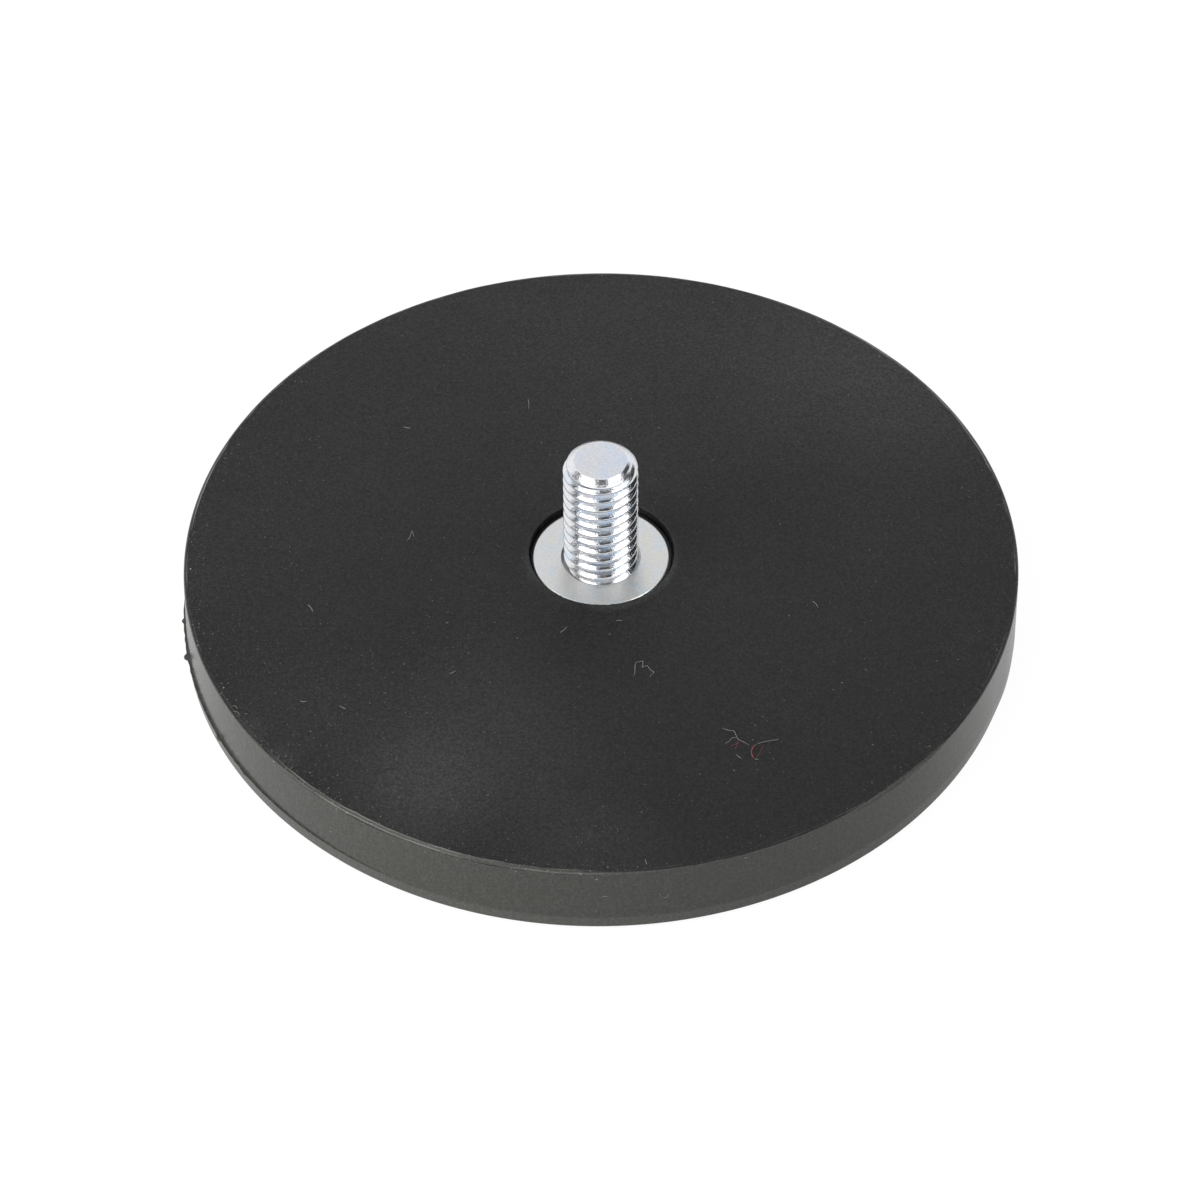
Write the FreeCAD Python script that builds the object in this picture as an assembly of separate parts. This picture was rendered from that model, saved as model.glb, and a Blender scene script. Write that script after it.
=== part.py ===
import FreeCAD, Part
import math
import os

# A rubber-coated pot magnet: an over-moulded disc with a threaded pin standing on its back.
# The holding face lies on z = 0 and the pin stands along +Z. All sizes are in millimetres.

# Layers of the disc, from the holding face upwards
holding_skin = 1.0
magnet_thickness = 3.0
plate_thickness = 2.5
back_skin = 2.0

# Rubber coat
coat_diameter = 88.0
rim_wall = 2.0
parting_height = 1.9
draft_angle = 1.5
flash_height = 0.3
flash_proud = 0.2
back_edge_bevel = 0.4
holding_edge_bevel = 0.4
window_gap = 0.3
window_gap_depth = 0.8
window_edge_chamfer = 0.15

# Disc magnets, which stand in rings with their poles alternating
magnet_diameter = 12.0
magnet_edge_distance = 3.0
magnet_gap = 3.0

# Flanged bush, pressed through the plate and staked under it
flange_diameter = 14.4
flange_recess = 0.35
flange_edge_chamfer = 0.25
barrel_diameter = 12.0
stake_width = 0.7
stake_height = 0.9
skin_under_bush = 1.5
bush_floor = 0.9
mouth_diameter = 8.46

# Threaded pin: a metric coarse thread with a flat point above and a hexagon socket below
thread_diameter = 8.0
thread_pitch = 1.25
pin_length = 20.0
point_diameter = 5.5
point_chamfer_angle = 40.0
socket_across_flats = 4.0
socket_depth = 5.0
drill_point_angle = 120.0

# Heights and radii that follow from the sizes above
plate_bottom = holding_skin + magnet_thickness
plate_top = plate_bottom + plate_thickness
coat_top = plate_top + back_skin
coat_radius = coat_diameter / 2
plate_radius = coat_radius - rim_wall
magnet_radius = magnet_diameter / 2
flange_radius = flange_diameter / 2
flange_face = coat_top - flange_recess
barrel_radius = barrel_diameter / 2
thread_radius = thread_diameter / 2

# The pin's thread and the bush's thread meet halfway up their flanks, at the pitch radius
thread_flank_height = thread_pitch * math.sqrt(3) / 2
pitch_radius = thread_radius - thread_flank_height * 3 / 8
root_radius = thread_radius - thread_flank_height * 17 / 24
pin_seat = skin_under_bush + bush_floor
pin_top = pin_seat + pin_length


def turned(corners):
    """The solid of revolution about Z of a closed outline through (radius, height) corners."""
    points = [FreeCAD.Vector(radius, 0, height) for radius, height in corners]
    face = Part.Face(Part.makePolygon(points + points[:1]))
    return face.revolve(FreeCAD.Vector(0, 0, 0), FreeCAD.Vector(0, 0, 1), 360)


def back_plate():
    """The steel disc that closes the magnets' flux, with the hole that the bush is pressed into."""
    return turned([
        (barrel_radius, plate_bottom),
        (plate_radius, plate_bottom),
        (plate_radius, plate_top),
        (barrel_radius, plate_top),
    ])


def bush_outside():
    """The bush without its bore: flange, barrel through the plate, staked flare and closed end."""
    return turned([
        (0, skin_under_bush),
        (barrel_radius, skin_under_bush),
        (barrel_radius, plate_bottom - stake_height),
        (barrel_radius + stake_width, plate_bottom),
        (barrel_radius, plate_bottom),
        (barrel_radius, plate_top),
        (flange_radius, plate_top),
        (flange_radius, flange_face - flange_edge_chamfer),
        (flange_radius - flange_edge_chamfer, flange_face),
        (0, flange_face),
    ])


def flanged_bush():
    """The bush with its blind threaded bore, drawn at the pitch radius, and countersunk mouth."""
    mouth_radius = mouth_diameter / 2
    mouth_depth = mouth_radius - pitch_radius
    bore = turned([
        (0, pin_seat),
        (pitch_radius, pin_seat),
        (pitch_radius, flange_face - mouth_depth),
        (mouth_radius, flange_face),
        (0, flange_face),
    ])
    return bush_outside().cut(bore)


def hexagon_socket():
    """The key socket in the pin's lower end, with the cone that its drill leaves."""
    corner_radius = socket_across_flats / math.sqrt(3)
    corners = []
    for k in range(7):
        angle = math.radians(60 * k)
        corners.append(FreeCAD.Vector(
            corner_radius * math.cos(angle), corner_radius * math.sin(angle), pin_seat))
    prism = Part.Face(Part.makePolygon(corners)).extrude(FreeCAD.Vector(0, 0, socket_depth))
    drill_radius = socket_across_flats / 2
    cone_height = drill_radius / math.tan(math.radians(drill_point_angle / 2))
    cone = Part.makeCone(
        drill_radius, 0, cone_height, FreeCAD.Vector(0, 0, pin_seat + socket_depth))
    return prism.fuse(cone)


def threaded_pin():
    """The pin, at the pitch radius inside the bush and at the thread's full radius above it.

    The lower end is chamfered at 45 degrees, and the upper end down to the flat point.
    """
    point_radius = point_diameter / 2
    chamfer_height = (thread_radius - point_radius) * math.tan(math.radians(point_chamfer_angle))
    blank = turned([
        (0, pin_seat),
        (root_radius, pin_seat),
        (pitch_radius, pin_seat + pitch_radius - root_radius),
        (pitch_radius, flange_face),
        (thread_radius, flange_face),
        (thread_radius, pin_top - chamfer_height),
        (point_radius, pin_top),
        (0, pin_top),
    ])
    return blank.cut(hexagon_socket())


def magnet_rings():
    """Radius and number of magnets of each ring, from the plate's edge inwards.

    A ring holds as many magnets as fit with their gaps, in an even number because the poles
    alternate, and the rings stop where the next one would meet the bush.
    """
    rings = []
    pitch = magnet_diameter + magnet_gap
    radius = plate_radius - magnet_edge_distance - magnet_radius
    while radius - magnet_radius >= flange_radius + magnet_gap:
        pairs = int(math.pi / math.asin(pitch / 2 / radius) / 2)
        rings.append((radius, 2 * pairs))
        radius -= pitch
    return rings


def magnets():
    """Every magnet under the plate, by its name."""
    placed = {}
    for ring, (radius, count) in enumerate(magnet_rings(), start=1):
        for place in range(count):
            angle = 2 * math.pi * (place + 0.5) / count
            foot = FreeCAD.Vector(
                radius * math.cos(angle), radius * math.sin(angle), holding_skin)
            placed[f"magnet_ring{ring}_{place + 1:02d}"] = Part.makeCylinder(
                magnet_radius, magnet_thickness, foot)
    return placed


def coat_outside():
    """The coat's moulded outline, drafted both ways from the flash at its parting line."""
    slope = math.tan(math.radians(draft_angle))
    parting_radius = coat_radius + (coat_top - parting_height) * slope
    holding_radius = parting_radius - parting_height * slope
    half_flash = flash_height / 2
    return turned([
        (0, 0),
        (holding_radius - holding_edge_bevel, 0),
        (holding_radius, holding_edge_bevel),
        (parting_radius, parting_height - half_flash),
        (parting_radius + flash_proud, parting_height),
        (parting_radius, parting_height + half_flash),
        (coat_radius, coat_top - back_edge_bevel),
        (coat_radius - back_edge_bevel, coat_top),
        (0, coat_top),
    ])


def coat_window():
    """The round window over the flange, down to where the rubber grips the flange's side."""
    radius = flange_radius + window_gap
    bottom = flange_face - window_gap_depth
    return turned([
        (0, bottom),
        (radius, bottom),
        (radius, coat_top - window_edge_chamfer),
        (radius + window_edge_chamfer, coat_top),
        (0, coat_top),
    ])


def rubber_coat(inserts):
    """The coat, moulded round every insert, so its cavities are the inserts' own forms."""
    return coat_outside().cut([coat_window()] + inserts)


os.makedirs("parts", exist_ok=True)

plate = back_plate()
disc_magnets = magnets()
nodes = {
    "steel_back_plate": plate,
    "flanged_bush": flanged_bush(),
    "threaded_pin": threaded_pin(),
    **disc_magnets,
}
nodes["rubber_coat"] = rubber_coat([plate, bush_outside()] + list(disc_magnets.values()))

for name, shape in nodes.items():
    shape.exportStep(f"parts/{name}.step")
    print(name, "valid" if shape.isValid() else "not valid", round(shape.Volume, 1), "mm3")
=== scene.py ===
import math

import bpy
import numpy as np
from mathutils import Matrix, Vector


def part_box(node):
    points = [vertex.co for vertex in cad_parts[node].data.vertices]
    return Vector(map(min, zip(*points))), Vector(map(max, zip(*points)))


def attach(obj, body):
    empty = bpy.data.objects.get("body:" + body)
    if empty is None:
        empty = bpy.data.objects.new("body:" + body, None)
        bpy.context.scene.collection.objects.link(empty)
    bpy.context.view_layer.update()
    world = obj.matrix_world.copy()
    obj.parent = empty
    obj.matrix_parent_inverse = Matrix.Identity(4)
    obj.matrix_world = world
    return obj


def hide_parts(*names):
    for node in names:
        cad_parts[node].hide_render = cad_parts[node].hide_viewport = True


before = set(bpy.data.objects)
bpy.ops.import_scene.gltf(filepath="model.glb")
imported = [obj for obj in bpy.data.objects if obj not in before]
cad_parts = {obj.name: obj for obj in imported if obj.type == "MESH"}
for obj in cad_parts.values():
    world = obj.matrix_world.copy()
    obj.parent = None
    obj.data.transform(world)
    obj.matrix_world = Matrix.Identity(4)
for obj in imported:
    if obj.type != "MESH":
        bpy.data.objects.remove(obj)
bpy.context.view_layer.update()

# A rubber-coated pot magnet with an upright threaded pin, dressed round its CAD frame. The
# holding face lies on z = 0 and the photograph is taken from the front, from -Y. Sizes are in
# millimetres and angles in degrees round +Z from +X, unless a comment says otherwise.

scene = bpy.context.scene
scene.view_settings.view_transform = "Standard"
MM = 0.001

# Places and sizes read from the frame
COAT_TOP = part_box("rubber_coat")[1][2] / MM
PLATE_LOW, PLATE_HIGH = (np.array(corner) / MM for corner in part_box("steel_back_plate"))
BUSH_LOW, BUSH_HIGH = (np.array(corner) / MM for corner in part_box("flanged_bush"))
PIN_LOW, PIN_HIGH = (np.array(corner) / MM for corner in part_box("threaded_pin"))
MAGNETS = sorted(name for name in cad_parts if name.startswith("magnet_"))

# The angle past which two faces meet in a sharp edge, and how far past each arc of a profile one
# point more stands, so that smooth shading stays flat from there
SHARP_ANGLE, SUPPORT = 35, 0.06

# Rubber coat: its back face, the wall that is drafted both ways from the parting line, and the
# bevel at the holding face
COAT_COLUMNS = 720
BACK_RADIUS = 44.0
DRAFT = math.tan(math.radians(1.5))
PARTING_HEIGHT = 1.9
PARTING_RADIUS = BACK_RADIUS + (COAT_TOP - PARTING_HEIGHT) * DRAFT
HOLDING_RADIUS = PARTING_RADIUS - PARTING_HEIGHT * DRAFT
HOLDING_BEVEL = 0.43

# The back edge's full rounding. The edge has a share of it: the least one everywhere, which
# wanders a little, and more about some angles, given as angle, width and added share.
BACK_ROUNDING = 0.4
EDGE_SHARPEST = 0.25
EDGE_WANDER = 0.06
EDGE_ROUNDED = ((90.0, 96.0, 0.75), (247.0, 24.0, 0.75), (313.0, 8.0, 0.6))

# The mould's lower half sat askew, which leaves a ledge on the left and a bulge on the right
MOULD_SHIFT, MOULD_SHIFT_ANGLE = 0.2, 190.0
LEDGE, LEDGE_ANGLE, LEDGE_WIDTH = 0.18, 206.0, 31.0
BULGE, BULGE_ANGLE, BULGE_WIDTH = 0.16, 348.0, 7.0

# The flash at the parting line: a low lip all round, a leak on the left, and torn nubs there,
# given as angle, size and width. Its rows have a height over the parting line and a share of how
# far it stands out. The coat's columns crowd together at the leak.
FLASH_ROWS = ((-0.11, 0.25), (-0.06, 0.8), (-0.02, 1.0), (0.02, 0.7))
FLASH_EVEN, FLASH_RAGGED, FLASH_WANDER = 0.6, 0.4, 0.03
FLASH_PROUD = 0.012
FLASH_LEAK, FLASH_LEAK_WIDTH, FLASH_LEAK_PROUD = 194.0, 24.0, 0.12
FLASH_NUBS = ((184.1, 0.2, 0.4), (190.9, 0.34, 0.55), (206.6, 0.14, 0.5), (214.0, 0.08, 0.4))
CROWDING = 0.6

# The window over the flange, which lies a little to the back. Its front edge is torn.
WINDOW_RADIUS = 7.64
WINDOW_SHIFT = (0.06, 0.3)
WINDOW_BEVEL = 0.06
WINDOW_BOTTOM = BUSH_HIGH[2] - 0.8
WINDOW_RAGGED, WINDOW_TORN, WINDOW_TORN_WIDTH = 0.05, 270.0, 75.0

# Flanged bush: its flange, its barrel with the staked flare, and its countersunk mouth. Its
# rows are fine as far down as anyone can see, and coarse below.
FLANGE_FACE = BUSH_HIGH[2]
FLANGE_RADIUS = 7.26
FLANGE_BEVEL = 0.25
BARREL_RADIUS = 6.0
STAKE_WIDTH = 0.7
STAKE_HEIGHT = 0.9
MOUTH_RADIUS = 4.23
THREAD_GAP = 0.04
MOUTH_DEPTH = 1.6
FINE_STEP, COARSE_STEP = 0.05, 0.1

# Threaded pin. Below FINE_FROM its thread hides in the bush, so the rows there are coarse.
THREAD_COLUMNS = 192
ROWS_PER_TURN = 28
FINE_FROM = 7.4
THREAD_RADIUS = 3.93
PITCH = 1.25
THREAD_DEPTH = PITCH * math.sqrt(3) / 2 * 17 / 24
CREST_FLAT = PITCH / 8
THREAD_PHASE = 0.23
CREST_SOFTNESS = 0.05
ROOT_SOFTNESS = 0.12
POINT_RADIUS = 2.75
POINT_HEIGHT = 1.05
POINT_BULGE = 1.4
POINT_ROUNDING = 0.3
BLANK_RADIUS = 3.62
LAST_GROOVE_DEPTH = 0.1
LAST_GROOVE_FADE = (1.4, 1.05)
SOCKET_FLATS = 4.0
SOCKET_DEPTH = 5.0

# The magnets' pockets reach this far into the plate's cavity, so that the two join cleanly
POCKET_COLUMNS = 64
POCKET_REACH = 0.2

# The camera, as it was fitted to the disc, the window and the stud in the photograph
IMAGE_SIZE = 1200
SENSOR = 36.0
CAMERA_FOCAL_PIXELS = 4607.7
CAMERA_ELEVATION = 46.32
CAMERA_DISTANCE = 489.8
CAMERA_AIM = (0.0, 0.0, 4.0)
CAMERA_YAW, CAMERA_PITCH, CAMERA_ROLL = -0.015, 0.208, 0.314

# Marks on the rubber, placed at pixels of the photograph. A haze spot has a reach and a strength,
# and a fibre has a radius.
HAZE_SPOTS = (
    ((415, 790), 11.0, 0.4),
    ((485, 752), 19.0, 0.38),
    ((590, 850), 11.0, 0.25),
    ((300, 715), 12.0, 0.15),
    ((880, 360), 26.0, 0.45),
    ((620, 320), 18.0, 0.15),
    ((250, 728), 3.0, 0.3),
    ((281, 757), 3.0, 0.3),
)
GREY_FIBRES = (
    (((633, 677), (634.7, 673.7), (635, 667), (636, 663), (639.3, 662), (642.8, 661.3),
      (642.8, 665), (642.1, 667.3), (644.3, 666.7), (647.3, 666), (650.3, 669.7), (654, 672.5),
      (651.3, 674.7), (649.7, 677.7)), 0.035),
    (((722, 727.9), (725.4, 729.6), (730.6, 730.9), (734, 731.3), (736.1, 735.6),
      (738.3, 739.4), (743.4, 742), (749.4, 745.4)), 0.03),
    (((736.1, 737.7), (732.3, 738.1), (728.9, 741.6), (725, 743.7)), 0.03),
    (((779.4, 739.9), (774.3, 740.3), (767.4, 741.4), (760.6, 742.9), (756.3, 744.6)), 0.03),
    (((736.1, 754.4), (738.5, 756.8), (741.3, 758.3)), 0.035),
    (((754.5, 759), (756.5, 759.4), (758.4, 759.6)), 0.035),
    (((308, 605), (311, 608), (313, 612)), 0.045),
    (((403, 427), (407, 428), (411, 428.5)), 0.04),
    (((407, 541), (410, 537), (412, 531), (414, 537)), 0.03),
    (((449, 674), (452, 673), (456, 671)), 0.035),
    (((528, 399), (529, 404), (528.5, 409)), 0.03),
    (((560, 633), (564, 630), (567, 627)), 0.04),
    (((812, 601), (816, 604), (818, 608)), 0.03),
    (((616, 621), (619, 620.4), (622, 621)), 0.03),
    (((300, 701), (303, 702), (307, 701.5)), 0.04),
    (((339, 706), (343, 708), (346, 709)), 0.04),
    (((231, 707), (235, 706), (238, 709)), 0.03),
    (((233, 712), (237, 712), (240, 715)), 0.03),
    (((645, 859), (646, 862), (647, 865)), 0.03),
)
RED_FIBRES = (
    (((756.3, 744.6), (753.7, 747.1), (751.6, 751), (752, 755.3), (753.7, 758.3)), 0.06),
    (((738, 741), (737.9, 743.3), (736.4, 746.5), (735.3, 749.3)), 0.03),
    (((764, 745), (761.5, 749), (759.7, 752.7), (756.3, 757.8)), 0.02),
    (((737.9, 743.3), (734, 745), (730.6, 746.7)), 0.025),
)
WALL_FIBRES = (
    (((659, 892), (662, 896), (666, 897), (669, 893)), 0.03),
    (((602, 897), (605, 896), (608, 896.5)), 0.03),
    (((744, 858), (747, 857)), 0.04),
    (((844, 821), (847, 820)), 0.035),
)
LINT_SPECKS = (
    (448, 612), (310, 439), (320, 448), (340, 458), (290, 552), (444, 538), (579, 298),
    (594, 348), (402, 336), (527, 493), (473, 553), (538, 326), (659, 428), (764, 485),
    (688, 492), (691, 500), (885, 468), (889, 516), (855, 522), (941, 530), (870, 550),
    (806, 590), (851, 631), (866, 670), (842, 683), (833, 690), (894, 693), (879, 718),
    (937, 661), (915, 669), (922, 713), (864, 790), (854, 348), (920, 406), (948, 439),
    (962, 488), (642, 390), (731, 298), (762.7, 717.1), (752.8, 740), (773.4, 758.7), (734, 770.7),
    (247, 722), (251, 726), (246, 714), (255, 736), (262, 741), (268, 744), (272, 751),
    (278, 758), (285, 761), (291, 768), (297, 771), (236, 700), (244, 719), (357, 761),
)
RED_SPECKS = ((196, 628), (828, 790))

# Dust on the rubber: spacing, radius, share of the places taken, strength. Real dust is finer.
# Its points are drawn about as large as a pixel of the render, so that they show.
DUST = (
    (0.42, 0.05, 0.5, 0.16),
    (0.7, 0.06, 0.3, 0.28),
    (1.4, 0.07, 0.3, 0.33),
    (3.0, 0.08, 0.3, 0.5),
    (9.0, 0.09, 0.35, 0.85),
)

# Directions across the back face in which the dust grows, and in which its tone grows paler
DUSTIEST = (-0.75, -0.66, 0.0)
PALER_TOWARDS = (-0.25, 0.97, 0.0)

# Painted highlights and shade along the rounded edge, in fine lines: depth down the profile, half
# width, colour, and a shift of its pattern in metres that makes each come and go on its own
EDGE_HIGHLIGHT_AND_SHADE_LINES = (
    (0.05, 0.07, "#7a7a76", 0.3),
    (0.5, 0.08, "#73736f", 0.7),
    (0.76, 0.05, "#121212", 1.1),
    (1.0, 0.05, "#4a4a48", 1.6),
)

# Studio, in metres. The floor shines by a share, so that it is white and yet keeps the shadow.
# Reflections see it a little greyer than the camera does.
AMBIENT = 0.4
FLOOR_HEIGHT = -0.02 * MM
FLOOR_HALF = 3.0
FLOOR_SHINES = 0.86
FLOOR_GLOW, FLOOR_GLOW_MIRRORED = 1.08, 0.8
PIN_MIDDLE = (0, 0, 0.012)


def linear(hex_colour):
    """The linear RGBA of an sRGB hex colour."""
    values = [int(hex_colour[i:i + 2], 16) / 255 for i in (1, 3, 5)]
    return [v / 12.92 if v <= 0.04045 else ((v + 0.055) / 1.055) ** 2.4 for v in values] + [1.0]


def camera_turn():
    """The camera's turn: first down to its elevation, then the small yaw, pitch and roll."""
    tilt = Matrix.Rotation(math.radians(90 - CAMERA_ELEVATION), 3, "X")
    yaw = Matrix.Rotation(-math.radians(CAMERA_YAW), 3, "Y")
    pitch = Matrix.Rotation(-math.radians(CAMERA_PITCH), 3, "X")
    roll = Matrix.Rotation(-math.radians(CAMERA_ROLL), 3, "Z")
    return tilt @ yaw @ pitch @ roll


def camera_place():
    """The camera's place in millimetres, straight back from its aim at its elevation."""
    angle = math.radians(CAMERA_ELEVATION)
    back = np.array([0.0, -math.cos(angle), math.sin(angle)])
    return back * CAMERA_DISTANCE + np.array(CAMERA_AIM)


def new_object(name, data):
    """A new object in the scene."""
    made = bpy.data.objects.new(name, data)
    scene.collection.objects.link(made)
    return made


def make_camera():
    """The photograph's camera."""
    data = bpy.data.cameras.new("camera")
    data.sensor_width = SENSOR
    data.lens = CAMERA_FOCAL_PIXELS / IMAGE_SIZE * SENSOR
    data.clip_start, data.clip_end = 0.01, 20.0
    camera = new_object("camera", data)
    camera.matrix_world = Matrix.Translation(Vector(camera_place() * MM)) @ camera_turn().to_4x4()
    scene.camera = camera


def sight_lines(pixels):
    """Directions, in the row frame, of the sight lines through pixels of the photograph."""
    pixels = np.atleast_2d(np.array(pixels, float))
    half = IMAGE_SIZE / 2
    across = (pixels[:, 0] - half) / CAMERA_FOCAL_PIXELS
    down = (pixels[:, 1] - half) / CAMERA_FOCAL_PIXELS
    rays = np.stack([across, -down, -np.ones(len(pixels))], axis=1)
    return rays @ np.array(camera_turn()).T


def on_back_face(pixels):
    """Where the sight lines through pixels meet the plane of the coat's back face."""
    rays, eye = sight_lines(pixels), camera_place()
    reach = (COAT_TOP - eye[2]) / rays[:, 2]
    return eye + rays * reach[:, None]


def on_side_wall(pixels):
    """Where the sight lines through pixels first meet the coat's drafted wall.

    Each pass meets a cylinder of the wall's radius at the height that the last one found.
    """
    rays, eye = sight_lines(pixels), camera_place()
    a = (rays[:, :2] ** 2).sum(axis=1)
    b = (rays[:, :2] * eye[:2]).sum(axis=1)
    height = PARTING_HEIGHT
    for _ in range(3):
        radius = BACK_RADIUS + (COAT_TOP - height) * DRAFT
        c = (eye[:2] ** 2).sum() - radius ** 2
        reach = (-b - np.sqrt(np.maximum(b * b - a * c, 0.0))) / a
        height = eye[2] + rays[:, 2] * reach
    return eye + rays * reach[:, None]


def add(tree, kind, inputs=None, **settings):
    """Adds a node: settings go on the node, and inputs are by name or number.

    An input is a value, a socket, or a node that stands for its first output.
    """
    node = tree.nodes.new(kind)
    for name, value in settings.items():
        setattr(node, name, value)
    for name, value in (inputs or {}).items():
        if isinstance(value, bpy.types.Node):
            value = value.outputs[0]
        if isinstance(value, bpy.types.NodeSocket):
            tree.links.new(value, node.inputs[name])
        else:
            node.inputs[name].default_value = value
    return node


def new_material(name):
    """A material without nodes, and its tree."""
    material = bpy.data.materials.new(name)
    material.use_nodes = True
    tree = material.node_tree
    tree.nodes.clear()
    return material, tree


def mark_sharp_edges(mesh):
    """Keeps the edges sharp whose two faces' normals differ by more than the sharp angle."""
    normals = np.empty(len(mesh.polygons) * 3)
    mesh.polygons.foreach_get("normal", normals)
    normals = normals.reshape(-1, 3)
    edge = np.empty(len(mesh.loops), int)
    mesh.loops.foreach_get("edge_index", edge)
    corners = np.empty(len(mesh.polygons), int)
    mesh.polygons.foreach_get("loop_total", corners)
    face = np.repeat(np.arange(len(corners)), corners)
    order = np.argsort(edge, kind="stable")
    edge, face = edge[order], face[order]
    shared = edge[:-1] == edge[1:]
    cosine = (normals[face[:-1]] * normals[face[1:]]).sum(axis=1)
    sharp = np.zeros(len(mesh.edges), bool)
    sharp[edge[:-1][shared & (cosine < math.cos(math.radians(SHARP_ANGLE)))]] = True
    marks = mesh.attributes.new("sharp_edge", "BOOLEAN", "EDGE")
    marks.data.foreach_set("value", sharp)


def mesh_piece(name, points, faces, material, slot, stands_for=()):
    """A finished piece from points in millimetres and faces, riding on the one body."""
    mesh = bpy.data.meshes.new(name)
    mesh.from_pydata((np.asarray(points) * MM).tolist(), [], [list(face) for face in faces])
    mesh.validate()
    mesh.materials.append(material)
    mesh.shade_smooth()
    mark_sharp_edges(mesh)
    piece = new_object(name, mesh)
    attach(piece, "root")
    if stands_for:
        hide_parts(*stands_for)
    return piece


def rounded(corners, steps=4):
    """A profile of (radius, height) points through corners given as (radius, height, rounding).

    A corner with a rounding becomes a tangent arc of that radius, with one point more on each
    side of it. A corner with a rounding of 0 stays a corner.
    """
    points = [np.array(corner[:2], float) for corner in corners]
    out = [points[0]]
    for before, here, after, corner in zip(points, points[1:], points[2:], corners[1:]):
        radius = corner[2]
        if radius == 0:
            out.append(here)
            continue
        back = (before - here) / np.linalg.norm(before - here)
        on = (after - here) / np.linalg.norm(after - here)
        half = math.acos(np.clip(back @ on, -1, 1)) / 2
        reach = radius / math.tan(half)
        centre = here + (back + on) / np.linalg.norm(back + on) * radius / math.sin(half)
        start, end = here + back * reach, here + on * reach
        out.append(start + back * SUPPORT)
        for t in np.linspace(0, 1, steps + 1):
            chord = start + (end - start) * t - centre
            out.append(centre + chord / np.linalg.norm(chord) * radius)
        out.append(end + on * SUPPORT)
    return np.array(out + [points[-1]])


def thread_radius(angle, height):
    """Radius of the pin's thread at each angle and height.

    The distance along the axis to the nearest crest of a right-hand helix goes through a
    straight flank of 60 degrees, softened where it leaves the crest and meets the root.
    """
    turns = height / PITCH - angle / (2 * math.pi) - THREAD_PHASE
    from_crest = np.abs(turns - np.round(turns)) * PITCH
    rise = (from_crest - CREST_FLAT / 2) * math.sqrt(3)
    depth = (rise + np.sqrt(rise ** 2 + CREST_SOFTNESS ** 2)) / 2
    left = THREAD_DEPTH - depth
    left = (left + np.sqrt(left ** 2 + ROOT_SOFTNESS ** 2)) / 2
    return THREAD_RADIUS - THREAD_DEPTH + left


def turned_grid(angles, radii, heights):
    """Points and faces of a closed surface of revolution whose two ends lie on the axis.

    radii and heights have a row for each profile point and a column for each angle, so the
    surface may depart from round. The profile runs up the outside, so faces point outwards.
    """
    rows, columns = radii.shape
    ring = np.stack([radii * np.cos(angles), radii * np.sin(angles), heights], axis=2)
    points = np.concatenate([ring[:1, :1], ring[1:-1].reshape(1, -1, 3), ring[-1:, :1]], axis=1)[0]
    here = np.arange(columns)
    beside = (here + 1) % columns
    row = np.arange(rows - 3)[:, None] * columns + 1
    quads = np.stack([row + here, row + beside, row + columns + beside, row + columns + here],
                     axis=2).reshape(-1, 4)
    last = (rows - 3) * columns + 1
    first_fan = np.stack([np.zeros(columns, int), 1 + beside, 1 + here], axis=1)
    last_fan = np.stack([last + here, last + beside, np.full(columns, len(points) - 1)], axis=1)
    return points, first_fan.tolist() + quads.tolist() + last_fan.tolist()


def ring_angles(columns):
    """Evenly spaced angles round the axis."""
    return np.arange(columns) * 2 * math.pi / columns


def waves(angles, lowest, highest, seed):
    """A ragged closed line round the axis, from -1 to 1: a sum of sine waves with seeded phases."""
    random = np.random.default_rng(seed)
    total = np.zeros_like(angles)
    for count in range(lowest, highest, max(1, (highest - lowest) // 24)):
        total += np.sin(count * angles + random.uniform(0, 2 * math.pi))
    return total / np.abs(total).max()


def bell(angles, middle, width):
    """1 at an angle in degrees, falling smoothly to 0 over the width, by the shorter way round."""
    away = (np.degrees(angles) - middle + 180) % 360 - 180
    return np.exp(-(away / width) ** 4)


def flash_line(angles):
    """How far the flash stands out of the lower wall at each angle.

    A low lip runs all round. On the left, where the mould leaked, it is ragged and higher, with
    torn nubs.
    """
    leak = bell(angles, FLASH_LEAK, FLASH_LEAK_WIDTH)
    ragged = FLASH_EVEN + FLASH_RAGGED * waves(angles, 40, 260, 3)
    low = FLASH_EVEN + FLASH_RAGGED * waves(angles, 6, 60, 5)
    proud = FLASH_PROUD * low + FLASH_LEAK_PROUD * leak * ragged
    for middle, size, width in FLASH_NUBS:
        proud += size * bell(angles, middle, width)
    return proud


def edge_share(angles):
    """How round the back edge is at each angle, as a share of its full rounding."""
    share = np.full_like(angles, EDGE_SHARPEST)
    for middle, width, more in EDGE_ROUNDED:
        share += more * bell(angles, middle, width)
    return share + EDGE_WANDER * waves(angles, 8, 60, 13)


def even_edge_share():
    """Angles from -pi to pi, every quarter degree, and how round the back edge is at each."""
    angles = np.linspace(-math.pi, math.pi, 1441)
    return angles, edge_share(angles)


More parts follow.
